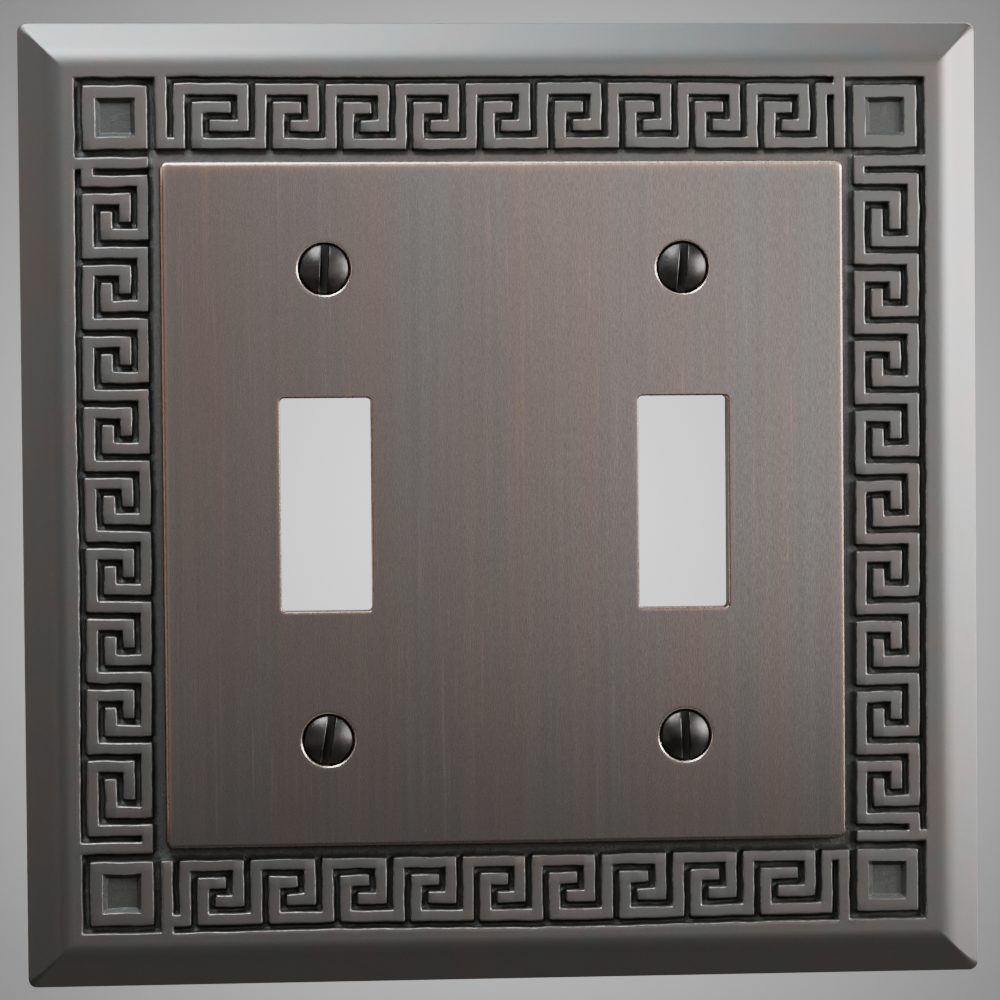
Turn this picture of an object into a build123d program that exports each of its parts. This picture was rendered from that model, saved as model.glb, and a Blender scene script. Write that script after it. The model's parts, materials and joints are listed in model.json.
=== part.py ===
"""A two-gang toggle wall plate with a raised panel and a Greek key border, and its four screws.

The origin is the middle of the plate on the wall's surface. +Z is up, the plate faces -Y, and the screws'
shanks run along +Y, behind the wall's surface. Heights are distances out from the wall, along -Y.
"""

import os
from math import cos, radians, sin, tan

from build123d import *

# Driving dimensions, in millimetres and degrees.
PLATE_SIDE = 123.8
PLATE_CORNER = 1.2
EDGE_HEIGHT = 2.0  # the square side wall below the bevel
LAND_HEIGHT = 4.8  # the flat that the border is cut into
PANEL_HEIGHT = 5.8
PANEL_SIDE = 87.7
PANEL_CORNER = 0.9
PANEL_EDGE_ROUND = 0.45
BEVEL_WIDTH = 5.9
BEVEL_ANGLE = 32  # the slope of the bevel's flank, which rounds over into the land

# The border of keys, between the land and the moat around the panel.
KEY_OUTER = 54.9  # from the centre to the outer side of the outer line
MOAT_OUTER = 45.55
KEY_ROW_LENGTH = 86.4
KEY_UNITS = 9
UNIT_MODULES = 8  # a unit is drawn on a grid of 8 by 8 modules
FIRST_UNIT_EXTRA = 1.35  # how much wider the first unit of each row is, at its middle column
GROOVE_WIDTH = 0.95
GROOVE_DEPTH = 0.85

# The square at each corner of the border: a ring groove around a raised square with a sunk middle.
CORNER_CENTRE = 49.55
RING_SIDE = 10.2
RING_WIDTH = 1.1
PIT_SIDE = 5.0
PIT_DEPTH = 0.7
PIT_DRAFT = 38

# The openings for two toggles and four screws, on the standard two-gang spacings.
GANG_SPACING = 46.04
SCREW_SPACING = 60.33
TOGGLE_WIDTH = 11.6
TOGGLE_HEIGHT = 27.3
TOGGLE_CORNER = 0.5
HOLE_RADIUS = 2.1
COUNTERSINK_RADIUS = 3.5
COUNTERSINK_ANGLE = 82

# The hollow back, with a collar around each toggle opening and a boss around each screw hole.
RECESS_SIDE = 118.8
RECESS_DEPTH = 2.3
RECESS_DRAFT = 45
PANEL_RECESS_SIDE = 83.8
PANEL_RECESS_DEPTH = 4.0
TOGGLE_COLLAR = 1.5
BOSS_RADIUS = 5.0

# The screws: #6-32 oval heads, with the thread as a plain shank of its major diameter.
THREAD_RADIUS = 1.75
THREAD_START = 2.2  # the thread's height; the neck above it is plain
NECK_RADIUS = 1.5
SCREW_LENGTH = 12.7  # from the head's rim to the tip
THREAD_CHAMFER = 0.25
TIP_CHAMFER = 0.5
HEAD_RADIUS = 3.12
HEAD_RIM = 0.12
HEAD_DOME = 0.95
SEAT_GAP = 0.12  # how far the head stands off its seat, along the screw
SLOT_WIDTH = 1.03
SLOT_DEPTH = 1.05
# Each screw's side of the plate, and how far its slot's top leans to the right.
SCREWS = {
    "screw_upper_left": (-1, 1, 3.0),
    "screw_upper_right": (1, 1, 5.3),
    "screw_lower_left": (-1, -1, 9.5),
    "screw_lower_right": (1, -1, -1.8),
}

front = Plane.XZ
half_side = PLATE_SIDE / 2
module_along = (KEY_ROW_LENGTH - FIRST_UNIT_EXTRA) / (KEY_UNITS * UNIT_MODULES + 3)
module_across = (KEY_OUTER - MOAT_OUTER) / UNIT_MODULES
seat_slope = tan(radians(COUNTERSINK_ANGLE / 2))

# The bevel's round is tangent to the land and to the flank, and fits the bevel's width and drop.
slope = radians(BEVEL_ANGLE)
bevel_drop = LAND_HEIGHT - EDGE_HEIGHT
bevel_round = (BEVEL_WIDTH * sin(slope) - bevel_drop * cos(slope)) / (1 - cos(slope))


def leg_step(start, end):
    """The unit step along a leg that runs along one axis."""
    return [(b > a) - (b < a) for a, b in zip(start, end)]


def band(path, width):
    """The corners of a band of this width along a path of square turns, with square ends."""
    legs = [leg_step(start, end) for start, end in zip(path, path[1:])]
    left, right = [], []
    for (x, y), before, after in zip(path, legs[:1] + legs, legs + legs[-1:]):
        turn = before != after
        side_x = -(before[1] + after[1] * turn) * width / 2
        side_y = (before[0] + after[0] * turn) * width / 2
        left.append((x + side_x, y + side_y))
        right.append((x - side_x, y - side_y))
    return left + right[::-1]


def grid_point(column, row, extra):
    """The middle of a module of the top row, with columns to the right and rows inwards."""
    x = (column + 0.5) * module_along - KEY_ROW_LENGTH / 2 + extra
    return x, KEY_OUTER - (row + 0.5) * module_across


def unit_path(unit):
    """The middle of one unit's groove, from the outer line round to the moat."""
    turns = [(7, 0), (7, 6), (3, 6), (3, 4), (5, 4), (5, 2), (1, 2), (1, 7.7)]
    first_column = 1 + unit * UNIT_MODULES
    return [
        grid_point(first_column + column, row, FIRST_UNIT_EXTRA if unit or column > 4 else 0)
        for column, row in turns
    ]


# The grooves of one side of the border, drawn for the top: the outer line with its first leg, the units,
# and a last leg that opens into the moat.
with BuildSketch() as key_row:
    last_column = KEY_UNITS * UNIT_MODULES + 2
    line = [grid_point(0, 6.4, 0), grid_point(0, 0, 0), grid_point(last_column + 0.4, 0, FIRST_UNIT_EXTRA)]
    last_leg = [grid_point(last_column, row, FIRST_UNIT_EXTRA) for row in (1.6, 7.7)]
    for path in (line, last_leg, *(unit_path(unit) for unit in range(KEY_UNITS))):
        Polygon(*band(path, GROOVE_WIDTH), align=None)

with BuildPart() as plate:
    # Two long prisms of the plate's section cross to make a square body, mitred at its corners.
    upright = Plane(origin=(0, 0, 0), x_dir=(0, 0, 1), z_dir=(-1, 0, 0))
    for section, mode in ((Plane.XY, Mode.ADD), (upright, Mode.INTERSECT)):
        with BuildSketch(section):
            with BuildLine():
                bend = JernArc((half_side - BEVEL_WIDTH, -LAND_HEIGHT), (1, 0), bevel_round, BEVEL_ANGLE)
                Polyline(bend @ 1, (half_side, -EDGE_HEIGHT), (half_side, 0), (0, 0))
                Line((0, -LAND_HEIGHT), bend @ 0)
                mirror(about=Plane.YZ)
            make_face()
        extrude(amount=half_side, both=True, mode=mode)
    with BuildSketch(front):
        RectangleRounded(PLATE_SIDE, PLATE_SIDE, PLATE_CORNER)
    extrude(amount=LAND_HEIGHT, mode=Mode.INTERSECT)

    # The keys, the corner rings and the moat are cut to one depth.
    with BuildSketch(front.offset(LAND_HEIGHT)):
        with PolarLocations(0, 4):
            add(key_row.sketch)
        with GridLocations(2 * CORNER_CENTRE, 2 * CORNER_CENTRE, 2, 2):
            Rectangle(RING_SIDE, RING_SIDE)
            Rectangle(RING_SIDE - 2 * RING_WIDTH, RING_SIDE - 2 * RING_WIDTH, mode=Mode.SUBTRACT)
        Rectangle(2 * MOAT_OUTER, 2 * MOAT_OUTER)
        RectangleRounded(PANEL_SIDE, PANEL_SIDE, PANEL_CORNER, mode=Mode.SUBTRACT)
    extrude(amount=-GROOVE_DEPTH, mode=Mode.SUBTRACT)

    with BuildSketch(front.offset(LAND_HEIGHT)):
        with GridLocations(2 * CORNER_CENTRE, 2 * CORNER_CENTRE, 2, 2):
            Rectangle(PIT_SIDE, PIT_SIDE)
    extrude(amount=-PIT_DEPTH, taper=PIT_DRAFT, mode=Mode.SUBTRACT)

    # The raised panel, with its front edge rounded.
    with BuildSketch(front.offset(LAND_HEIGHT)):
        RectangleRounded(PANEL_SIDE, PANEL_SIDE, PANEL_CORNER)
    extrude(amount=PANEL_HEIGHT - LAND_HEIGHT)
    fillet(plate.faces().sort_by(Axis.Y)[0].edges(), PANEL_EDGE_ROUND)

    # The hollow back: a drafted recess, and a deeper one behind the panel.
    with BuildSketch(front):
        RectangleRounded(RECESS_SIDE, RECESS_SIDE, PLATE_CORNER + RECESS_DEPTH)
    extrude(amount=RECESS_DEPTH, taper=RECESS_DRAFT, mode=Mode.SUBTRACT)
    with BuildSketch(front.offset(RECESS_DEPTH)):
        RectangleRounded(PANEL_RECESS_SIDE, PANEL_RECESS_SIDE, PANEL_CORNER)
        with GridLocations(GANG_SPACING, SCREW_SPACING, 2, 2):
            Circle(BOSS_RADIUS, mode=Mode.SUBTRACT)
        with GridLocations(GANG_SPACING, 0, 2, 1):
            collar = 2 * TOGGLE_COLLAR
            Rectangle(TOGGLE_WIDTH + collar, TOGGLE_HEIGHT + collar, mode=Mode.SUBTRACT)
    extrude(amount=PANEL_RECESS_DEPTH - RECESS_DEPTH, mode=Mode.SUBTRACT)

    with BuildSketch(front):
        with GridLocations(GANG_SPACING, 0, 2, 1):
            RectangleRounded(TOGGLE_WIDTH, TOGGLE_HEIGHT, TOGGLE_CORNER)
    extrude(amount=PANEL_HEIGHT, mode=Mode.SUBTRACT)
    with Locations(front.offset(PANEL_HEIGHT)):
        with GridLocations(GANG_SPACING, SCREW_SPACING, 2, 2):
            CounterSinkHole(HOLE_RADIUS, COUNTERSINK_RADIUS, PANEL_HEIGHT, COUNTERSINK_ANGLE)

os.makedirs("parts", exist_ok=True)
plate.part.label = "plate"
export_step(plate.part, "parts/plate.step")

# Levels along Y of a seated screw: its rim's back and front, the top of its dome, its neck and its tip.
rim_back = -PANEL_HEIGHT + (COUNTERSINK_RADIUS - HEAD_RADIUS) / seat_slope - SEAT_GAP
rim_front = rim_back - HEAD_RIM
dome_top = rim_front - HEAD_DOME
neck = rim_back + (HEAD_RADIUS - NECK_RADIUS) / seat_slope
tip = rim_back + SCREW_LENGTH
dome_radius = (HEAD_RADIUS**2 + HEAD_DOME**2) / (2 * HEAD_DOME)

for name, (right, up, lean) in SCREWS.items():
    x, z = right * GANG_SPACING / 2, up * SCREW_SPACING / 2
    with BuildPart() as screw:
        with BuildSketch(Plane.XY.offset(z).shift_origin((x, 0, z))):
            with BuildLine():
                Polyline(
                    (0, dome_top),
                    (0, tip),
                    (THREAD_RADIUS - TIP_CHAMFER, tip),
                    (THREAD_RADIUS, tip - TIP_CHAMFER),
                    (THREAD_RADIUS, -THREAD_START),
                    (NECK_RADIUS, -THREAD_START - THREAD_CHAMFER),
                    (NECK_RADIUS, neck),
                    (HEAD_RADIUS, rim_back),
                    (HEAD_RADIUS, rim_front),
                )
                RadiusArc((HEAD_RADIUS, rim_front), (0, dome_top), dome_radius)
            make_face()
        revolve(axis=Axis((x, 0, z), (0, 1, 0)))
        with BuildSketch(front.offset(-dome_top).shift_origin((x, dome_top, z))):
            Rectangle(SLOT_WIDTH, 3 * HEAD_RADIUS, rotation=-lean)
        extrude(amount=-SLOT_DEPTH, mode=Mode.SUBTRACT)
    screw.part.label = name
    export_step(screw.part, f"parts/{name}.step")
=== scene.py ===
"""The looks of a two-gang toggle wall plate in oil-rubbed bronze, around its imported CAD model.

Shapes are worked out in millimetres as (x, height, z), where the height is the distance out from the wall
along -Y, and are put into metres when they become objects.
"""

import json
import math

import bmesh
import bpy
import numpy as np
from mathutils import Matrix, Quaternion, Vector


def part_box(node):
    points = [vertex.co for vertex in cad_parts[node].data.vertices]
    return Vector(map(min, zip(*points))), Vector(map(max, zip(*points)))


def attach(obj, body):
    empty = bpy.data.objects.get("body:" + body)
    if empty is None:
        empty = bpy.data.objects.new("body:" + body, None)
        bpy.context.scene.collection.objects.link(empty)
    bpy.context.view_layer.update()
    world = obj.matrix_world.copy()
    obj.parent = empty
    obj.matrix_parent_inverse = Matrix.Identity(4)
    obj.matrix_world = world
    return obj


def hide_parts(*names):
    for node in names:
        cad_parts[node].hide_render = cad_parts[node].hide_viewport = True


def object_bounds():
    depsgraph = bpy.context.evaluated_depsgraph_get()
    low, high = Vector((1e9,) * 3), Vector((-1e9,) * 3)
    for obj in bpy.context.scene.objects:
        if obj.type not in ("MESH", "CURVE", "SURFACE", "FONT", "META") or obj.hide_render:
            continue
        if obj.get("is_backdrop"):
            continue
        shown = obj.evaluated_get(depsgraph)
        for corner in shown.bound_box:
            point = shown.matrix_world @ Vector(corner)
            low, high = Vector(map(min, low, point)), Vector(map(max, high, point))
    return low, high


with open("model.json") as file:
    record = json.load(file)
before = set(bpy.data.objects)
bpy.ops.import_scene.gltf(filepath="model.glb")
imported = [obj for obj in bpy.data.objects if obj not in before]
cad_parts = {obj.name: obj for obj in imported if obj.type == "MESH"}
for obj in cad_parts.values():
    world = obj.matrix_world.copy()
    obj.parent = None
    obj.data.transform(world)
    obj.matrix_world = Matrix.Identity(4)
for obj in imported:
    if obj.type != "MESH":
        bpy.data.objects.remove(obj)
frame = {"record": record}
cad_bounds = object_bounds()

MM = 0.001
plate_low, plate_high = (Vector(corner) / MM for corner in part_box("plate"))
pattern = next(m["dims"] for m in frame["record"]["mounts"] if m["name"] == "screw_pattern")
gang_x, screw_z = pattern["spacing_x_mm"] / 2, pattern["spacing_y_mm"] / 2
thread_radius = pattern["stud_r_mm"]

# The plate's edge, bevel, land and raised panel.
half_side = plate_high.x
panel_height = -plate_low.y
LAND_HEIGHT = 4.8
EDGE_HEIGHT = 2.0
EDGE_ROUND = 0.3
PLATE_CORNER = 1.2
CREASE_ROUND = 0.25
BEVEL_WIDTH = 5.9
BEVEL_ANGLE = math.radians(32)
PANEL_HALF = 43.85
PANEL_CORNER = 0.9
PANEL_EDGE_ROUND = 0.45

# The border: rows of keys drawn on a grid of modules, with a square at each corner.
KEY_OUTER = 54.9
MOAT_OUTER = 45.55
KEY_ROW_LENGTH = 86.4
KEY_UNITS = 9
UNIT_MODULES = 8
FIRST_UNIT_EXTRA = 1.35
UNIT_TURNS = ((7, 0), (7, 6), (3, 6), (3, 4), (5, 4), (5, 2), (1, 2), (1, 7.7))
GROOVE_WIDTH = 0.95
GROOVE_DEPTH = 0.85
CORNER_CENTRE = 49.55
RING_HALF = 5.1
RING_WIDTH = 1.1
PIT_HALF = 2.5
PIT_DEPTH = 0.7
PIT_WALL = 0.55
PIT_EDGE = 0.07
# The casting rounds the grooves' outlines over the first distance, and the second, a finer one, is for the
# pale lines of wear and painted highlight along their edges. Each wall has grid lines at these distances
# from the edge, from the floor to the top, where its depths are these shares of the groove's.
SOFTNESS = 0.15
EDGE_SOFTNESS = 0.06
WALL_OFFSETS = (-0.25, -0.09, 0.0, 0.11)
WALL_DEPTHS = (1.0, 0.28, 0.0, 0.0)
RASTER_STEP = 0.025
OUTLINE_SWELL = 0.03
# Patina and painted shade run from 0 for bare bronze to 1 for black. The grooves' real patina is deepened
# with painted shade at their walls and corners; the middle of a wide groove is spared this share of it.
MOAT_MIDDLE_UNSHADED = 0.62
GROOVE_MIDDLE_UNSHADED = 0.26
PIT_FLOOR_DIRT = 0.43
PIT_WALL_PATINA_AND_SHADE = 0.7
# The casting's unevenness, as heights and lengths of swells: of its surface, and of the border's lines.
SURFACE_SWELLS = ((0.012, 1.3), (0.012, 5))
LINE_SWELLS = ((0.11, 45), (0.04, 3.5))
RELIEF_INNER = 44.1
RELIEF_OUTER = 55.3

# The openings and the hollow back.
TOGGLE_HALF = (5.8, 13.65)
TOGGLE_CORNER = 0.5
HOLE_RADIUS = 2.1
COUNTERSINK_RADIUS = 3.5
SEAT_SLOPE = math.tan(math.radians(41))
RECESS_HALF = 59.4
RECESS_DEPTH = 2.3
PANEL_RECESS_HALF = 41.9
PANEL_RECESS_DEPTH = 4.0
TOGGLE_COLLAR = 1.5
BOSS_RADIUS = 5.0

# The screws.
HEAD_RADIUS = 3.12
HEAD_RIM = 0.12
HEAD_DOME = 0.95
NECK_RADIUS = 1.5
THREAD_START = 2.2
THREAD_PITCH = 0.794
THREAD_DEPTH = 0.43
TIP_CHAMFER = 0.5
SLOT_HALF = 0.515
SLOT_DEPTH = 1.05
# The slot's walls have grid lines at these distances from its edge, where the head's surface has come up
# from the slot's floor by these shares of the way.
SLOT_EDGE_OFFSETS = (-0.12, -0.04, 0, 0.03, 0.07, 0.13)
SLOT_EDGE_SHARES = (0, 0.05, 0.35, 0.86, 0.97, 1)
SLOT_LEANS = {
    "screw_upper_left": 3.0,
    "screw_upper_right": 5.3,
    "screw_lower_left": 9.5,
    "screw_lower_right": -1.8,
}


# ---------------------------------------------------------------- outlines and shells

def rounded_rectangle(half_x, half_z, radius, side_steps=10, corner_steps=6):
    """Points round a rectangle with rounded corners, anticlockwise from its top right corner's lower end."""
    points = []
    for turn, (x_sign, z_sign) in enumerate(((1, 1), (-1, 1), (-1, -1), (1, -1))):
        centre = np.array((x_sign * (half_x - radius), z_sign * (half_z - radius)))
        for step in range(corner_steps + 1):
            angle = (turn + step / corner_steps) * math.pi / 2
            points.append(centre + radius * np.array((math.cos(angle), math.sin(angle))))
    corners = corner_steps + 1
    outline = []
    for index, point in enumerate(points):
        outline.append(point)
        if index % corners == corners - 1:
            following = points[(index + 1) % len(points)]
            outline += [point + (following - point) * s / side_steps for s in range(1, side_steps)]
    return np.array(outline)


def rounded_square(half, radius):
    return rounded_rectangle(half, half, radius, side_steps=30)


def circle(radius, steps=64):
    angles = np.arange(steps) * 2 * math.pi / steps
    return radius * np.stack((np.cos(angles), np.sin(angles)), axis=1)


def arc_steps(centre, radius, start, end, steps):
    """Points (distance, height) on an arc between two angles in degrees."""
    angles = np.radians(np.linspace(start, end, steps + 1))
    return [(centre[0] + radius * math.cos(a), centre[1] + radius * math.sin(a)) for a in angles]


def smooth_step(value):
    value = np.clip(value, 0, 1)
    return value * value * (3 - 2 * value)


class Shell:
    """A mesh under construction, in millimetres. Each point also says how far it is worn pale or given a
    painted highlight, and how far it is patinated dark or given painted shade.
    """

    def __init__(self):
        self.mesh = bmesh.new()
        self.wear_and_highlight = self.mesh.verts.layers.float.new("wear_and_highlight")
        self.patina_and_shade = self.mesh.verts.layers.float.new("patina_and_shade")

    def point(self, x, height, z, wear_and_highlight=0.0, patina_and_shade=0.0):
        vertex = self.mesh.verts.new((x, height, z))
        vertex[self.wear_and_highlight] = wear_and_highlight
        vertex[self.patina_and_shade] = patina_and_shade
        return vertex

    def ring(self, outline, height, wear_and_highlight=0.0, patina_and_shade=0.0, centre=(0, 0)):
        return [self.point(x + centre[0], height, z + centre[1], wear_and_highlight, patina_and_shade) for x, z in outline]

    def skin(self, rings, slot=0):
        """Faces between each closed ring and the next."""
        for one, other in zip(rings, rings[1:]):
            for i in range(len(one)):
                j = (i + 1) % len(one)
                self.mesh.faces.new((one[i], one[j], other[j], other[i])).material_index = slot

    def fill(self, rings, slot=0):
        """A flat face between an outer ring and the rings of its holes."""
        edges = []
        for ring in rings:
            for one, other in zip(ring, ring[1:] + ring[:1]):
                edges.append(self.mesh.edges.get((one, other)) or self.mesh.edges.new((one, other)))
        made = bmesh.ops.triangle_fill(self.mesh, use_beauty=True, edges=edges, normal=(0, 1, 0))
        for piece in made["geom"]:
            if isinstance(piece, bmesh.types.BMFace):
                piece.material_index = slot

    def finish(self, name, materials, place=(0, 0, 0)):
        """Closes the mesh and makes an object of it, in metres in the row's frame."""
        bmesh.ops.recalc_face_normals(self.mesh, faces=self.mesh.faces)
        for vertex in self.mesh.verts:
            x, height, z = vertex.co
            vertex.co = Vector((x + place[0], -height, z + place[2])) * MM
        bmesh.ops.reverse_faces(self.mesh, faces=self.mesh.faces)
        self.mesh.normal_update()
        data = bpy.data.meshes.new(name)
        # Each point's normal leans to its largest faces, so that tops and floors look flat to their edges.
        normals = []
        for vertex in self.mesh.verts:
            leaning = sum((face.normal * face.calc_area() for face in vertex.link_faces), Vector())
            normals.append(leaning.normalized())
        self.mesh.to_mesh(data)
        self.mesh.free()
        data.polygons.foreach_set("use_smooth", [True] * len(data.polygons))
        data.normals_split_custom_set_from_vertices(normals)
        for material in materials:
            data.materials.append(material)
        piece = bpy.data.objects.new(name, data)
        bpy.context.scene.collection.objects.link(piece)
        return piece


# ---------------------------------------------------------------- the border's relief

def grid_point(column, row, extra):
    """The middle of a module of the top row, with columns to the right and rows inwards."""
    along = (KEY_ROW_LENGTH - FIRST_UNIT_EXTRA) / (KEY_UNITS * UNIT_MODULES + 3)
    across = (KEY_OUTER - MOAT_OUTER) / UNIT_MODULES
    return (column + 0.5) * along - KEY_ROW_LENGTH / 2 + extra, KEY_OUTER - (row + 0.5) * across


def key_paths():
    """The middles of the top row's grooves: the outer line, the units and the last leg."""
    last_column = KEY_UNITS * UNIT_MODULES + 2
    line = [grid_point(0, 6, 0), grid_point(0, 0, 0), grid_point(last_column, 0, FIRST_UNIT_EXTRA)]
    last_leg = [grid_point(last_column, row, FIRST_UNIT_EXTRA) for row in (2, 7.7)]
    units = []
    for unit in range(KEY_UNITS):
        units.append([
            grid_point(1 + unit * UNIT_MODULES + column, row, FIRST_UNIT_EXTRA if unit or column > 4 else 0)
            for column, row in UNIT_TURNS
        ])
    return [line, last_leg, *units]


def groove_raster(softness):
    """How far each point of a fine grid over the top row lies in a groove, from 0 to 1, with soft edges."""
    columns = np.arange(-RELIEF_OUTER - 1, RELIEF_OUTER + 1, RASTER_STEP)
    rows = np.arange(RELIEF_INNER - 1, RELIEF_OUTER + 1, RASTER_STEP)
    x, z = np.meshgrid(columns, rows, indexing="ij")

    def inside(centre_x, centre_z, half_x, half_z):
        return (np.abs(x - centre_x) < half_x) & (np.abs(z - centre_z) < half_z)

    cut = np.maximum(np.abs(x), np.abs(z)) < MOAT_OUTER
    for side in (-1, 1):
        inner_half = RING_HALF - RING_WIDTH
        ring = inside(side * CORNER_CENTRE, CORNER_CENTRE, RING_HALF, RING_HALF)
        cut |= ring & ~inside(side * CORNER_CENTRE, CORNER_CENTRE, inner_half, inner_half)
    for path in key_paths():
        for (x0, z0), (x1, z1) in zip(path, path[1:]):
            half_x, half_z = abs(x1 - x0) / 2 + GROOVE_WIDTH / 2, abs(z1 - z0) / 2 + GROOVE_WIDTH / 2
            cut |= inside((x0 + x1) / 2, (z0 + z1) / 2, half_x, half_z)
    half = math.ceil(3.5 * softness / RASTER_STEP)
    reach = np.arange(-half, half + 1) * RASTER_STEP
    kernel = np.exp(-((reach / softness) ** 2) / 2)
    kernel /= kernel.sum()
    soft = cut.astype(float)
    for axis in (0, 1):
        soft = sum(weight * np.roll(soft, step - half, axis) for step, weight in enumerate(kernel))
    return columns, rows, soft


def resample(raster, x, z):
    """The raster's values on the grid of these x and z lines."""
    columns, rows, values = raster
    for lines, old, axis in ((x, columns, 0), (z, rows, 1)):
        place = (np.asarray(lines) - old[0]) / RASTER_STEP
        index = np.clip(place.astype(int), 0, len(old) - 2)
        share = np.expand_dims(place - index, 1 - axis)
        low, high = np.take(values, index, axis), np.take(values, index + 1, axis)
        values = low + (high - low) * share
    return values


def wave(x, z, length, seed):
    """A smooth irregular field of about -1 to 1, whose swells are about this long."""
    rng = np.random.default_rng(seed)
    total = 0
    for _ in range(6):
        angle, phase = rng.uniform(0, 2 * math.pi, 2)
        pace = 2 * math.pi / (length * rng.uniform(0.7, 1.5))
        total = total + np.sin(pace * (x * math.cos(angle) + z * math.sin(angle)) + phase)
    return total / 2.6


def swells(x, z, sizes, seed):
    """The sum of several such fields, each of its own height and length."""
    return sum(height * wave(x, z, length, seed + i) for i, (height, length) in enumerate(sizes))


def merged(lines, least=0.025):
    kept = []
    for line in sorted(lines):
        if not kept or line - kept[-1] > least:
            kept.append(line)
    return kept


def relief_lines():
    """The grid lines along and across the top row, close together at each groove's walls."""
    both = [side * (GROOVE_WIDTH / 2 + offset) for side in (-1, 1) for offset in WALL_OFFSETS]
    columns, rows = set(), set()
    for path in key_paths():
        columns.update(x for x, _ in path)
        rows.update(z for _, z in path if z > MOAT_OUTER + GROOVE_WIDTH / 2)
    along = [column + offset for column in columns for offset in both]
    across = [row + offset for row in rows for offset in both]
    for edge, outwards in (
        (MOAT_OUTER, 1),
        (CORNER_CENTRE - RING_HALF, -1),
        (CORNER_CENTRE + RING_HALF - RING_WIDTH, -1),
        (CORNER_CENTRE + RING_HALF, 1),
    ):
        across += [edge + outwards * offset for offset in WALL_OFFSETS]
    foot = PIT_HALF - PIT_WALL
    for reach in (PIT_HALF + PIT_EDGE, PIT_HALF, PIT_HALF - PIT_EDGE, foot, foot - 0.12):
        across += [CORNER_CENTRE - reach, CORNER_CENTRE + reach]
    across = merged([RELIEF_INNER, RELIEF_OUTER, *across])
    return merged([-RELIEF_INNER, *along]) + across, across


def relief(columns, rows, x, z):
    """Heights over the top row and its right corner, with how pale each point is from worn edges and painted
    highlight, and how dark from patination and painted shade.
    """
    # The uneven part of the outlines fades out at the seams, where the four turned rows join.
    seam = smooth_step((x + RELIEF_INNER) / 1.5) * smooth_step((z - RELIEF_INNER) / 1.5)
    soft = resample(groove_raster(SOFTNESS), columns, rows) + OUTLINE_SWELL * seam * wave(x, z, 3, 8)
    edge = resample(groove_raster(EDGE_SOFTNESS), columns, rows)
    levels = [0.5 - math.erf(offset / SOFTNESS / math.sqrt(2)) / 2 for offset in WALL_OFFSETS]
    depth = np.interp(soft, levels[::-1], WALL_DEPTHS[::-1])
    depth = np.maximum(depth, 0.06 * np.minimum(2 * edge, 1))
    # Pale lines along every groove edge, as wear and as a painted highlight.
    wear_and_highlight = np.exp(-(((edge - 0.5) / 0.2) ** 2))
    reach = np.maximum(np.abs(np.abs(x) - CORNER_CENTRE), np.abs(z - CORNER_CENTRE))
    pit = np.clip((PIT_HALF - reach) / PIT_WALL, 0, 1)
    # A pale line round each pit's rim, as wear and as a painted highlight.
    pit_rim_wear_and_highlight = 0.7 * np.exp(-(((reach - PIT_HALF) / 0.05) ** 2))
    height = LAND_HEIGHT - depth * GROOVE_DEPTH - pit * PIT_DEPTH
    # Groove walls and corners stay darkest with painted shade; the middle of a groove sheds this share of
    # it.
    middle = smooth_step((soft - 0.955) / 0.04) * np.where(z < MOAT_OUTER - 0.3, MOAT_MIDDLE_UNSHADED, GROOVE_MIDDLE_UNSHADED)
    groove_patina_and_shade = smooth_step((depth - 0.05) / 0.28) * (1 - middle)
    # The pits' walls are darker than their floors with painted shade on top of their patina.
    pit_patina_and_shade = np.where(reach < PIT_HALF - PIT_WALL - 0.05, PIT_FLOOR_DIRT, PIT_WALL_PATINA_AND_SHADE)
    patina_and_shade = np.where(pit > 0, pit_patina_and_shade, groove_patina_and_shade)
    return height, np.maximum(wear_and_highlight, pit_rim_wear_and_highlight), patina_and_shade


def add_relief(shell, slot):
    """The whole border between the moat and the land, as the top row turned round four sides."""
    columns, rows = relief_lines()
    x, z = np.meshgrid(columns, rows, indexing="ij")
    height, wear_and_highlight, patina_and_shade = relief(columns, rows, x, z)
    for turn in range(4):
        cos, sin = round(math.cos(turn * math.pi / 2)), round(math.sin(turn * math.pi / 2))
        turned_x, turned_z = x * cos - z * sin, x * sin + z * cos
        # The cast surface is rougher where its patina and painted shade are dark, and meets the panel's foot
        # evenly.
        foot = smooth_step((np.maximum(np.abs(x), np.abs(z)) - RELIEF_INNER) / 0.8)
        rough = swells(turned_x, turned_z, SURFACE_SWELLS, 5) * foot
        sunk = height + rough * (0.2 + 3 * patina_and_shade)
        # The moat is given painted shade: lighter along the plate's top and darker along its bottom, as
        # under light from above.
        patina_with_bottom_shade = patina_and_shade - np.where(z < MOAT_OUTER - 0.2, 0.2 * turned_z / MOAT_OUTER, 0)
        grid = [
            [
                shell.point(turned_x[i, j], sunk[i, j], turned_z[i, j], wear_and_highlight[i, j], patina_with_bottom_shade[i, j])
                for j in range(len(rows))
            ]
            for i in range(len(columns))
        ]
        for left, right in zip(grid, grid[1:]):
            for j in range(len(rows) - 1):
                face = shell.mesh.faces.new((left[j], right[j], right[j + 1], left[j + 1]))
                face.material_index = slot
    bmesh.ops.remove_doubles(shell.mesh, verts=shell.mesh.verts, dist=0.004)
    rim = [v for v in shell.mesh.verts if v.is_boundary]
    loops = []
    for reach in (RELIEF_INNER, RELIEF_OUTER):
        ring = [v for v in rim if abs(max(abs(v.co.x), abs(v.co.z)) - reach) < 0.01]
        loops.append(sorted(ring, key=lambda v: math.atan2(v.co.z, v.co.x)))
    return loops


# ---------------------------------------------------------------- the plate

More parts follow.
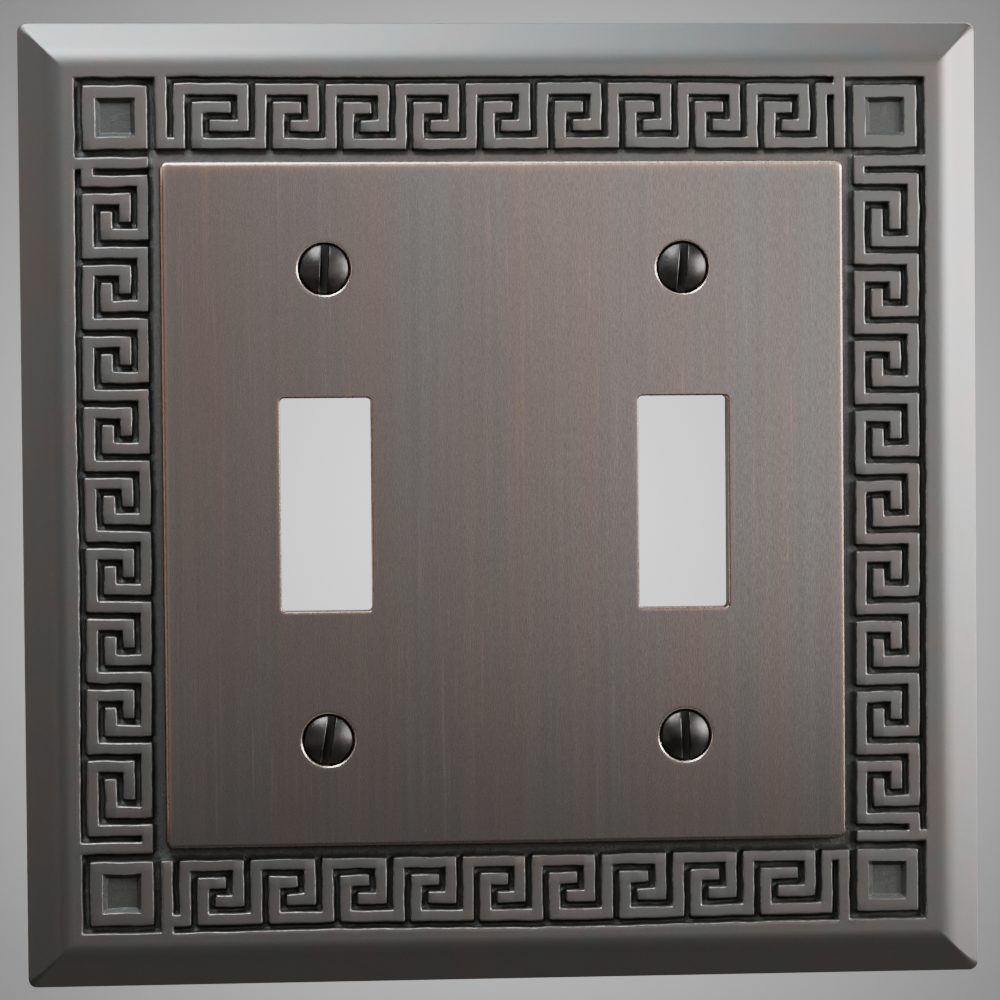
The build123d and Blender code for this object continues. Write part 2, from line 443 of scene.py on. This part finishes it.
def bevel_profile():
    """The border's section from the land out over the bevel and round to the wall's surface."""
    drop = LAND_HEIGHT - EDGE_HEIGHT
    sin, cos = math.sin(BEVEL_ANGLE), math.cos(BEVEL_ANGLE)
    radius = (BEVEL_WIDTH * sin - drop * cos) / (1 - cos)
    start = (half_side - BEVEL_WIDTH, LAND_HEIGHT - radius)
    round_over = arc_steps(start, radius, 90, 90 - math.degrees(BEVEL_ANGLE), 10)
    turn = math.pi / 2 - BEVEL_ANGLE
    setback = EDGE_ROUND * math.tan(turn / 2)
    edge = (half_side - EDGE_ROUND, EDGE_HEIGHT - setback)
    edge_arc = arc_steps(edge, EDGE_ROUND, 90 - math.degrees(BEVEL_ANGLE), 0, 4)
    back_arc = arc_steps((half_side - EDGE_ROUND, EDGE_ROUND), EDGE_ROUND, 0, -90, 4)
    bevel = np.linspace(round_over[-1], edge_arc[0], 9)[1:-1]
    return [*round_over, *bevel, *edge_arc, (half_side, 1.0), *back_arc]


def bevel_corner(distance):
    """The plan radius of the corners this far from the centre: a crease that opens out at the edge."""
    share = (distance - half_side + BEVEL_WIDTH) / BEVEL_WIDTH
    return CREASE_ROUND + (PLATE_CORNER - CREASE_ROUND) * max(share, 0) ** 5


def add_border(shell, inner_rim, slot_border, slot_back):
    """The land, the bevel and the back's rim and recess, out from the relief's outer rim."""
    land = shell.ring(rounded_square(RELIEF_OUTER + 0.6, CREASE_ROUND), LAND_HEIGHT)
    shell.fill([inner_rim, land], slot_border)
    rings = [land]
    for distance, height in bevel_profile():
        outline = rounded_square(distance, bevel_corner(distance))
        crest = 0.3 * math.exp(-(((distance - half_side + BEVEL_WIDTH - 0.9) / 0.8) ** 2))
        rings.append(shell.ring(outline, height, wear_and_highlight=max(crest, 0.35 * (distance > half_side - 0.25))))
    shell.skin(rings, slot_border)
    wall = arc_steps((RECESS_HALF + 0.2, 0.2), 0.2, -90, -180, 3)
    ceiling = (RECESS_HALF - RECESS_DEPTH, RECESS_DEPTH)
    wall += [(ceiling[0] + 0.2, ceiling[1] - 0.2), (ceiling[0] - 0.1, ceiling[1] - 0.04)]
    wall += [(ceiling[0] - 0.4, ceiling[1])]
    corner = PLATE_CORNER + RECESS_DEPTH
    back = [rings[-1]]
    for distance, height in wall:
        back.append(shell.ring(rounded_square(distance, corner), height))
    shell.skin(back, slot_back)
    return back[-1]


def add_panel(shell, moat_rim, slot_panel, slot_border):
    """The moat's floor, the panel's side and rounded edge, and its face around the openings."""
    floor = LAND_HEIGHT - GROOVE_DEPTH
    side = [(PANEL_HALF + 0.12, floor)]
    side += [(PANEL_HALF + 0.04, floor + 0.04), (PANEL_HALF + 0.02, floor + 0.15)]
    edge_centre = (PANEL_HALF - PANEL_EDGE_ROUND, panel_height - PANEL_EDGE_ROUND)
    edge = arc_steps(edge_centre, PANEL_EDGE_ROUND, 0, 90, 6)
    rings = []
    # The panel's side and the foot of its rounded edge are dark with patina and painted shade.
    for step, (distance, height) in enumerate(side):
        outline = rounded_square(distance, PANEL_CORNER + distance - PANEL_HALF)
        rings.append(shell.ring(outline, height, patina_and_shade=1 if step else 0.3))
    shell.fill([moat_rim, rings[0]], slot_border)
    shell.skin(rings, slot_border)
    rings = rings[-1:]
    for step, (distance, height) in enumerate(edge):
        outline = rounded_square(distance, PANEL_CORNER + distance - PANEL_HALF)
        dark = 1 - step / 2 if step < 2 else 0
        rings.append(shell.ring(outline, height, wear_and_highlight=0.25 * step if step < 5 else 0.8, patina_and_shade=dark))
    for inset, wear_and_highlight in ((0.15, 0.5), (0.4, 0.25), (1.0, 0.12), (2.0, 0.0)):
        outline = rounded_square(edge[-1][0] - inset, PANEL_CORNER)
        rings.append(shell.ring(outline, panel_height, wear_and_highlight=wear_and_highlight))
    # The pale line along the panel's edge is wear with a painted highlight: strongest along the top, then
    # along the left, and least along the bottom.
    level = PANEL_HALF - 2.5
    for vertex in (v for ring in rings for v in ring):
        if vertex.co.z < -level:
            vertex[shell.wear_and_highlight] *= 0.25
        elif vertex.co.z < level:
            vertex[shell.wear_and_highlight] *= 0.7 if vertex.co.x < 0 else 0.5
    shell.skin(rings, slot_panel)
    return rings[-1]


def add_toggle_opening(shell, x, slot_panel, slot_back):
    """One opening's rings on the panel's face and on its collar behind."""
    def ring(reach, height, wear_and_highlight=0.0):
        half_x, half_z = (half + reach for half in TOGGLE_HALF)
        outline = rounded_rectangle(half_x, half_z, TOGGLE_CORNER + reach, 8)
        return shell.ring(outline, height, wear_and_highlight, centre=(x, 0))

    lip = 0.22
    face = [ring(lip + 0.6, panel_height), ring(lip + 0.25, panel_height, 0.1)]
    for reach, height in arc_steps((lip, panel_height - lip), lip, 90, 180, 4):
        face.append(ring(reach, height, 0.4))
    face.append(ring(0, panel_height - 0.6))
    shell.skin(face, slot_panel)
    behind = [face[-1], ring(0, RECESS_DEPTH + 0.1), ring(0.1, RECESS_DEPTH)]
    behind += [ring(TOGGLE_COLLAR - 0.15, RECESS_DEPTH), ring(TOGGLE_COLLAR, RECESS_DEPTH + 0.15)]
    behind += [ring(TOGGLE_COLLAR + 0.05, PANEL_RECESS_DEPTH - 0.2)]
    behind += [ring(TOGGLE_COLLAR + 0.25, PANEL_RECESS_DEPTH)]
    shell.skin(behind, slot_back)
    return face[0], behind[-1]


def add_screw_hole(shell, x, z, slot_panel, slot_back):
    """One countersunk hole's rings on the panel's face and on its boss behind."""
    def ring(radius, height, wear_and_highlight=0.0, patina_and_shade=0.0):
        return shell.ring(circle(radius), height, wear_and_highlight, patina_and_shade, centre=(x, z))

    def cone(depth):
        return COUNTERSINK_RADIUS - depth * SEAT_SLOPE, panel_height - depth

    face = [ring(COUNTERSINK_RADIUS + 0.5, panel_height)]
    face += [ring(COUNTERSINK_RADIUS + 0.10, panel_height, 0.15)]
    # The countersink's rounded rim is painted pale, as wear and as a painted highlight.
    face += [ring(COUNTERSINK_RADIUS + 0.03, panel_height - 0.015, 1), ring(*cone(0.09), 0.8)]
    face += [ring(*cone(0.2), 0, 0.8), ring(*cone(0.6), 0, 1)]
    bottom = (COUNTERSINK_RADIUS - HOLE_RADIUS) / SEAT_SLOPE
    face += [ring(*cone(bottom), 0, 1)]
    shell.skin(face, slot_panel)
    behind = [face[-1], ring(HOLE_RADIUS, RECESS_DEPTH + 0.12), ring(HOLE_RADIUS + 0.12, RECESS_DEPTH)]
    behind += [ring(BOSS_RADIUS - 0.2, RECESS_DEPTH), ring(BOSS_RADIUS, RECESS_DEPTH + 0.2)]
    behind += [ring(BOSS_RADIUS + 0.05, PANEL_RECESS_DEPTH - 0.25)]
    behind += [ring(BOSS_RADIUS + 0.3, PANEL_RECESS_DEPTH)]
    shell.skin(behind, slot_back)
    return face[0], behind[-1]


def wobble(shell):
    """Sets the border's lines a little out of true, as a hand-finished casting has them."""
    border = [v for v in shell.mesh.verts if v.co.y > LAND_HEIGHT - GROOVE_DEPTH - 0.2]
    places = np.array([v.co[:] for v in border])
    x, z = places[:, 0], places[:, 2]
    reach = np.maximum(np.abs(x), np.abs(z))
    share = smooth_step((reach - PANEL_HALF - 0.1) / 0.8) * smooth_step((RELIEF_OUTER + 0.5 - reach) / 0.5)
    shift_x = share * swells(x, z, LINE_SWELLS, 1)
    shift_z = share * swells(x, z, LINE_SWELLS, 3)
    for vertex, dx, dz in zip(border, shift_x, shift_z):
        vertex.co.x += dx
        vertex.co.z += dz


def make_plate(panel_bronze, border_bronze, back_bronze):
    panel, border, back = 0, 1, 2
    shell = Shell()
    moat_rim, land_rim = add_relief(shell, border)
    recess_rim = add_border(shell, land_rim, border, back)
    face_rim = add_panel(shell, moat_rim, panel, border)
    openings = [add_toggle_opening(shell, side * gang_x, panel, back) for side in (-1, 1)]
    for side in (-1, 1):
        for level in (-1, 1):
            openings.append(add_screw_hole(shell, side * gang_x, level * screw_z, panel, back))
    shell.fill([face_rim, *(front for front, _ in openings)], panel)
    steps = [(PANEL_RECESS_HALF + 0.3, RECESS_DEPTH), (PANEL_RECESS_HALF + 0.08, RECESS_DEPTH + 0.1)]
    steps += [(PANEL_RECESS_HALF, PANEL_RECESS_DEPTH - 0.25), (PANEL_RECESS_HALF - 0.3, PANEL_RECESS_DEPTH)]
    well = [shell.ring(rounded_square(half, PANEL_CORNER), height) for half, height in steps]
    shell.fill([recess_rim, well[0]], back)
    shell.skin(well, back)
    shell.fill([well[-1], *(behind for _, behind in openings)], back)
    wobble(shell)
    return shell.finish("cast_plate", [panel_bronze, border_bronze, back_bronze])


# ---------------------------------------------------------------- the screws

def thread_share(turns):
    """How far out the thread's surface stands, from 0 at its root to 1 at its crest, along one pitch."""
    place = turns % 1
    return np.interp(place, (0, 0.10, 0.42, 0.58, 0.90, 1), (0, 0, 1, 1, 0, 0))


def head_height(across, radius, dome_top):
    """The head's surface: a dome with a rounded rim, cut by a slot across it."""
    dome_radius = (HEAD_RADIUS**2 + HEAD_DOME**2) / (2 * HEAD_DOME)
    dome = dome_top - dome_radius + math.sqrt(dome_radius**2 - min(radius, HEAD_RADIUS) ** 2)
    floor = dome_top - SLOT_DEPTH
    offsets = [SLOT_HALF + offset for offset in SLOT_EDGE_OFFSETS]
    share = float(np.interp(abs(across), offsets, SLOT_EDGE_SHARES))
    return floor + (dome - floor) * share


def make_screw(name, material):
    low, high = (Vector(corner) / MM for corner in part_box(name))
    centre_x, centre_z = (low.x + high.x) / 2, (low.z + high.z) / 2
    dome_top, tip = -low.y, -high.y
    rim_front = dome_top - HEAD_DOME
    rim_back = rim_front - HEAD_RIM
    neck = rim_back - (HEAD_RADIUS - NECK_RADIUS) / SEAT_SLOPE

    shell = Shell()
    radii = [*np.linspace(0.35, HEAD_RADIUS - 0.15, 9), HEAD_RADIUS - 0.07, HEAD_RADIUS - 0.02]
    rings = [shell.ring(circle(radius, 48), 0) for radius in radii]
    shell.skin(rings)
    hub = shell.point(0, 0, 0)
    for one, other in zip(rings[0], rings[0][1:] + rings[0][:1]):
        shell.mesh.faces.new((hub, one, other))
    for offset in SLOT_EDGE_OFFSETS:
        for side in (-1, 1):
            everything = [*shell.mesh.verts, *shell.mesh.edges, *shell.mesh.faces]
            cut = (side * (SLOT_HALF + offset), 0, 0)
            bmesh.ops.bisect_plane(shell.mesh, geom=everything, plane_co=cut, plane_no=(1, 0, 0), dist=1e-4)
    for vertex in shell.mesh.verts:
        across, radius = vertex.co.x, math.hypot(vertex.co.x, vertex.co.z)
        rim_drop = 0.10 * max(0, (radius - HEAD_RADIUS + 0.16) / 0.14) ** 2
        vertex.co.y = head_height(across, radius, dome_top) - rim_drop * (abs(across) > SLOT_HALF)
        edge = math.exp(-(((abs(across) - SLOT_HALF - 0.05) / 0.06) ** 2))
        vertex[shell.wear_and_highlight] = max(edge, 0.8 * (radius > HEAD_RADIUS - 0.1))
        # The slot's floor and walls are painted near-black as shade.
        vertex[shell.patina_and_shade] = float(abs(across) < SLOT_HALF)
    rim = sorted((v for v in shell.mesh.verts if v.is_boundary), key=lambda v: math.atan2(v.co.z, v.co.x))
    angles = np.array([math.atan2(v.co.z, v.co.x) for v in rim])

    def ring(radius, height, patina_and_shade=0.0):
        outline = np.stack((radius * np.cos(angles), radius * np.sin(angles)), axis=1)
        return shell.ring(outline, height, 0.0, patina_and_shade)

    # The underside of the head and the shank are darkened with painted shade.
    rings = [rim, ring(HEAD_RADIUS, rim_back + 0.01, 0.5), ring(HEAD_RADIUS - 0.03, rim_back - 0.03, 0.5)]
    rings += [ring(NECK_RADIUS + 0.1, neck + 0.1, 1), ring(NECK_RADIUS, neck - 0.05, 1)]
    step = THREAD_PITCH / 12
    for height in np.arange(THREAD_START, tip, -step):
        share = thread_share(height / THREAD_PITCH - angles / (2 * math.pi))
        radius = thread_radius - THREAD_DEPTH * (1 - share)
        start = float(smooth_step((THREAD_START - height) / 0.6))
        radius = NECK_RADIUS + (radius - NECK_RADIUS) * start
        radius = np.minimum(radius, thread_radius - TIP_CHAMFER + (height - tip))
        rings.append(ring(radius, height, 0.5))
    rings.append(ring(thread_radius - TIP_CHAMFER - 0.05, tip, 0.5))
    shell.skin(rings)
    shell.mesh.faces.new(rings[-1])
    lean = Quaternion((0, 1, 0), math.radians(SLOT_LEANS[name]))
    for vertex in shell.mesh.verts:
        vertex.co = lean @ vertex.co
    return shell.finish(name.replace("screw", "oval_head_screw"), [material], (centre_x, 0, centre_z))


# ---------------------------------------------------------------- materials

class Nodes:
    """A material's node tree, built by short calls."""

    def __init__(self, name):
        self.material = bpy.data.materials.new(name)
        self.material.use_nodes = True
        self.tree = self.material.node_tree
        self.shader = self.tree.nodes["Principled BSDF"]
        self.place = self.node("ShaderNodeTexCoord").outputs["Object"]

    def node(self, kind, **settings):
        made = self.tree.nodes.new(kind)
        for key, value in settings.items():
            setattr(made, key, value)
        return made

    def put(self, socket, value):
        if isinstance(value, bpy.types.NodeSocket):
            self.tree.links.new(value, socket)
        else:
            socket.default_value = value

    def stretched(self, scale):
        """The place in millimetres times a scale for each axis."""
        made = self.node("ShaderNodeMapping")
        self.put(made.inputs["Vector"], self.place)
        made.inputs["Scale"].default_value = [s / MM for s in scale]
        return made.outputs["Vector"]

    def noise(self, scale, detail=3.0, roughness=0.55):
        made = self.node("ShaderNodeTexNoise")
        self.put(made.inputs["Vector"], self.stretched(scale))
        made.inputs["Scale"].default_value = 1.0
        made.inputs["Detail"].default_value = detail
        made.inputs["Roughness"].default_value = roughness
        return made.outputs["Fac"]

    def attribute(self, name):
        return self.node("ShaderNodeAttribute", attribute_name=name).outputs["Fac"]

    def math(self, operation, one, other=0.0):
        made = self.node("ShaderNodeMath", operation=operation)
        self.put(made.inputs[0], one)
        self.put(made.inputs[1], other)
        return made.outputs[0]

    def remap(self, value, low, high, to_low=0.0, to_high=1.0):
        made = self.node("ShaderNodeMapRange", interpolation_type="SMOOTHSTEP")
        for name, number in zip(("Value", "From Min", "From Max", "To Min", "To Max"),
                                (value, low, high, to_low, to_high)):
            self.put(made.inputs[name], number)
        return made.outputs[0]

    def mix(self, share, one, other):
        made = self.node("ShaderNodeMix", data_type="RGBA")
        self.put(made.inputs["Factor"], share)
        for socket, colour in ((made.inputs["A"], one), (made.inputs["B"], other)):
            self.put(socket, (*colour, 1) if isinstance(colour, tuple) else colour)
        return made.outputs["Result"]

    def bump(self, height, distance, strength=1.0):
        made = self.node("ShaderNodeBump")
        made.inputs["Strength"].default_value = strength
        made.inputs["Distance"].default_value = distance * MM
        self.put(made.inputs["Height"], height)
        return made.outputs["Normal"]

    def set(self, **values):
        for name, value in values.items():
            self.put(self.shader.inputs[name.replace("_", " ").title()], value)


BRONZE = (0.143, 0.131, 0.124)
BRONZE_GREY = (0.134, 0.130, 0.123)
BRONZE_RED = (0.163, 0.123, 0.112)
BRONZE_DARK = (0.110, 0.100, 0.094)
COPPER = (0.33, 0.190, 0.135)
PALE_COPPER = (0.80, 0.62, 0.50)
EARTH = (0.064, 0.061, 0.056)
# Near-black for deep patina and for painted shade.
SOOT_AND_SHADE = (0.022, 0.020, 0.018)


def make_panel_bronze():
    """Vertically brushed bronze with faint reddish bands, bare copper at worn edges that also carry a
    painted highlight, and near-black patination and painted shade at the panel's foot.
    """
    n = Nodes("brushed_panel_bronze")
    bands = n.noise((0.12, 0.12, 0.006), 3)
    fine = n.noise((10.0, 10.0, 0.9), 2, 0.6)
    scratches = n.noise((3.0, 3.0, 0.05), 2)
    streaks = n.noise((0.9, 0.9, 0.012), 4, 0.7)
    wear_and_highlight = n.attribute("wear_and_highlight")
    colour = n.mix(n.remap(bands, 0.35, 0.65), BRONZE, BRONZE_RED)
    colour = n.mix(n.remap(streaks, 0.35, 0.65, 0, 0.35), colour, BRONZE_DARK)
    tint = n.math("MULTIPLY", n.remap(streaks, 0.50, 0.70), n.remap(bands, 0.48, 0.62))
    colour = n.mix(n.math("MULTIPLY", tint, 0.2), colour, COPPER)
    colour = n.mix(n.remap(scratches, 0.64, 0.74, 0, 0.25), colour, COPPER)
    colour = n.mix(n.remap(fine, 0.35, 0.65, 0, 0.20), colour, (0.07, 0.06, 0.055))
    rubbed = n.math("ADD", wear_and_highlight, n.math("MULTIPLY", n.math("SUBTRACT", streaks, 0.5), 0.5))
    colour = n.mix(n.remap(rubbed, 0.05, 0.6, 0, 0.65), colour, COPPER)
    colour = n.mix(n.remap(rubbed, 0.6, 0.95), colour, PALE_COPPER)
    # Near-black patina and painted shade at the panel's foot.
    colour = n.mix(n.remap(n.attribute("patina_and_shade"), 0.2, 0.8), colour, SOOT_AND_SHADE)
    n.set(base_color=colour, metallic=0.85, anisotropic=0.4)
    n.set(roughness=n.remap(fine, 0.3, 0.7, 0.25, 0.30))
    tangent = n.node("ShaderNodeCombineXYZ")
    tangent.inputs["X"].default_value = 1
    n.put(n.shader.inputs["Tangent"], tangent.outputs[0])
    n.set(normal=n.bump(fine, 0.008, 0.4))
    return n.material


def make_border_bronze():
    """Cast bronze with a rubbed top, thin pale edges that are worn and carry a painted highlight, and dull
    dark patination in the grooves, deepened with painted shade at their walls and along the bottom.
    """
    n = Nodes("cast_border_bronze")
    cloud = n.noise((0.13, 0.13, 0.13), 4)
    grain = n.noise((3.2, 3.2, 3.2), 4, 0.65)
    pits = n.noise((1.5, 1.5, 1.5), 3)
    wear_and_highlight, patina_and_shade = n.attribute("wear_and_highlight"), n.attribute("patina_and_shade")
    colour = n.mix(n.remap(cloud, 0.4, 0.7, 0, 0.7), BRONZE_GREY, BRONZE_RED)
    fine = n.noise((8.0, 8.0, 8.0), 2, 0.6)
    colour = n.mix(n.remap(fine, 0.35, 0.65, 0, 0.22), colour, (0.07, 0.065, 0.06))
    patchy = n.math("MULTIPLY", wear_and_highlight, n.remap(pits, 0.3, 0.65, 0.3, 1))
    colour = n.mix(n.remap(patchy, 0.3, 1.0, 0, 0.42), colour, PALE_COPPER)
    dark = n.math("ADD", patina_and_shade, n.math("MULTIPLY", n.math("SUBTRACT", grain, 0.5), 0.6))
    colour = n.mix(n.remap(dark, 0.1, 0.5), colour, EARTH)
    colour = n.mix(n.remap(dark, 0.5, 1.0), colour, SOOT_AND_SHADE)
    n.set(base_color=colour, metallic=n.remap(dark, 0.1, 0.6, 0.85, 0.6))
    n.set(roughness=n.remap(dark, 0.1, 0.8, 0.40, 0.60))
    rough = n.math("MULTIPLY", grain, n.remap(dark, 0.4, 0.8, 0.12, 0.7))
    n.set(normal=n.bump(rough, 0.15, 0.7))
    return n.material


def make_back_bronze():
    """The unpolished inside of the casting, dark and slightly grainy."""
    n = Nodes("raw_back_bronze")
    grain = n.noise((2.0, 2.0, 2.0), 4, 0.6)
    cloud = n.noise((0.07, 0.07, 0.07), 3)
    colour = n.mix(n.remap(cloud, 0.3, 0.7), (0.055, 0.047, 0.042), (0.11, 0.093, 0.082))
    n.set(base_color=colour, metallic=0.6, roughness=n.remap(grain, 0.3, 0.7, 0.5, 0.68))
    n.set(normal=n.bump(grain, 0.1, 0.5))
    return n.material


def make_screw_bronze():
    """Dark plated steel, with its plating thin at the slot's edges and the rim, and painted shade in the
    slot and under the head.
    """
    n = Nodes("dark_screw_bronze")
    cloud = n.noise((0.5, 0.5, 0.5), 4)
    grain = n.noise((5.0, 5.0, 5.0), 3, 0.6)
    colour = n.mix(n.remap(cloud, 0.3, 0.7), (0.030, 0.026, 0.024), (0.070, 0.062, 0.056))
    screw_painted_shade = n.remap(n.attribute("patina_and_shade"), 0.4, 1)
    thin = n.math("MULTIPLY", n.attribute("wear_and_highlight"), n.remap(cloud, 0.3, 0.65, 0.2, 1))
    colour = n.mix(n.remap(thin, 0.3, 1, 0, 0.6), colour, (0.42, 0.37, 0.33))
    # Painted shade in the slot and under the head.
    colour = n.mix(screw_painted_shade, colour, SOOT_AND_SHADE)
    rough = n.math("ADD", n.remap(grain, 0.3, 0.7, 0.34, 0.46), n.math("MULTIPLY", screw_painted_shade, 0.25))
    n.set(base_color=colour, metallic=0.85, roughness=rough)
    n.set(normal=n.bump(grain, 0.03, 0.4))
    return n.material


def make_stage_paint(name, shade):
    n = Nodes(name)
    cloud = n.noise((0.004, 0.004, 0.004), 2)
    n.set(base_color=n.mix(cloud, (shade,) * 3, (shade * 1.04,) * 3), roughness=0.9)
    return n.material


# ---------------------------------------------------------------- the stage, the camera and the lights

def make_sheet(name, corners, material):
    """A flat part of the stage, divided so that it isn't one bare face."""
    mesh = bmesh.new()
    mesh.faces.new([mesh.verts.new(corner) for corner in corners])
    bmesh.ops.subdivide_edges(mesh, edges=mesh.edges, cuts=3, use_grid_fill=True)
    data = bpy.data.meshes.new(name)
    mesh.to_mesh(data)
    mesh.free()
    data.materials.append(material)
    sheet = bpy.data.objects.new(name, data)
    bpy.context.scene.collection.objects.link(sheet)
    sheet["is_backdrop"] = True


def make_stage():
    floor, wall, reach = -2.6, 4.2, 4.0
    front_edge = [(-reach, -reach, floor), (reach, -reach, floor)]
    fold = [(-reach, wall, floor), (reach, wall, floor)]
    top_edge = [(reach, wall, reach), (-reach, wall, reach)]
    make_sheet("floor", front_edge + fold[::-1], make_stage_paint("pale_floor", 0.5))
    make_sheet("backdrop", fold + top_edge, make_stage_paint("pale_backdrop", 0.62))


def make_camera():
    camera = bpy.data.objects.new("camera", bpy.data.cameras.new("camera"))
    bpy.context.scene.collection.objects.link(camera)
    bpy.context.scene.camera = camera
    camera.data.lens = 124.9
    camera.data.sensor_width = 36
    camera.data.clip_start = 0.02
    camera.location = Vector((-31.5, -450, 11.8)) * MM
    aim = Vector((-0.7, -5, 0.4)) * MM
    camera.rotation_mode = "QUATERNION"
    level = (aim - camera.location).to_track_quat("-Z", "Y")
    camera.rotation_quaternion = level @ Quaternion((0, 0, 1), math.radians(-0.46))


def make_area_light(name, polar, azimuth, distance, size, power, colour=(1, 1, 1)):
    """A soft light facing the plate's middle. The polar angle is from straight ahead of the plate, and the
    azimuth turns anticlockwise round that from +X, both in degrees."""
    polar, azimuth = math.radians(polar), math.radians(azimuth)
    spread = math.sin(polar)
    away = Vector((spread * math.cos(azimuth), -math.cos(polar), spread * math.sin(azimuth)))
    data = bpy.data.lights.new(name, "AREA")
    data.shape = "RECTANGLE"
    data.size, data.size_y = size
    data.energy = power
    data.color = colour
    light = bpy.data.objects.new(name, data)
    light.location = away * distance
    light.rotation_mode = "QUATERNION"
    light.rotation_quaternion = (-away).to_track_quat("-Z", "Y")
    light.visible_camera = False
    bpy.context.scene.collection.objects.link(light)
    return light


def make_lights():
    world = bpy.data.worlds.new("room")
    bpy.context.scene.world = world
    world.use_nodes = True
    world.node_tree.nodes["Background"].inputs["Color"].default_value = (1, 1, 1, 1)
    world.node_tree.nodes["Background"].inputs["Strength"].default_value = 0.02
    cool, pale, warm, rosy = (0.82, 0.93, 1.0), (0.92, 0.97, 1.0), (1.0, 0.93, 0.90), (1.0, 0.85, 0.79)
    make_area_light("window_upper_left", 60, 111, 0.45, (0.18, 0.18), 3.9, cool)
    make_area_light("window_top", 84, 97, 0.45, (0.18, 0.18), 1.35, cool)
    make_area_light("window_right", 72, 14, 0.45, (0.18, 0.18), 2.1, pale)
    make_area_light("window_far_right", 96, 0, 0.45, (0.18, 0.18), 2.0, pale)
    make_area_light("lamp_right", 58, 13, 0.45, (0.18, 0.18), 1.85, pale)
    make_area_light("key_above", 13, 90, 1.0, (0.17, 0.17), 0.31, pale)
    make_area_light("key", 13, 45, 1.0, (0.17, 0.17), 0.36)
    make_area_light("key_right", 13, 0, 1.0, (0.17, 0.17), 0.32)
    make_area_light("key_far_right", 22, 0, 1.0, (0.22, 0.22), 0.23)
    make_area_light("front", 5, 190, 1.0, (0.22, 0.22), 0.125, rosy)
    make_area_light("fill_left", 50, 180, 1.0, (0.34, 0.34), 0.34, rosy)
    make_area_light("key_low", 11, -18, 1.0, (0.10, 0.10), 0.03, rosy)
    make_area_light("fill_far_left", 84, 172, 1.0, (0.35, 0.45), 0.85, warm)
    make_area_light("rear_right", 135, 50, 1.6, (0.8, 0.8), 26)
    make_area_light("rear_left", 125, 200, 1.6, (0.8, 0.8), 12)
    backdrop_light = make_area_light("backdrop_light", 174.8, -22, 3.47, (0.3, 0.3), 13.4)
    backdrop_light.rotation_quaternion = Vector((0, 1, 0)).to_track_quat("-Z", "Z")
    for name, y, z, power in (("floor_light_front", -2.2, -0.8, 7), ("floor_light_back", 1.4, -0.7, 26)):
        floor_light = make_area_light(name, 90, 90, 1.0, (2.6, 2.6), power)
        floor_light.location = (0, y, z)


plate = make_plate(make_panel_bronze(), make_border_bronze(), make_back_bronze())
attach(plate, "cover")
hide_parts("plate")
screw_bronze = make_screw_bronze()
for name in SLOT_LEANS:
    screw = make_screw(name, screw_bronze)
    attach(screw, name + "_body")
    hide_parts(name)

make_stage()
make_camera()
make_lights()

both = {"cad": cad_bounds, "visual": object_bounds()}
{name: [list(corner) for corner in box] for name, box in both.items()}
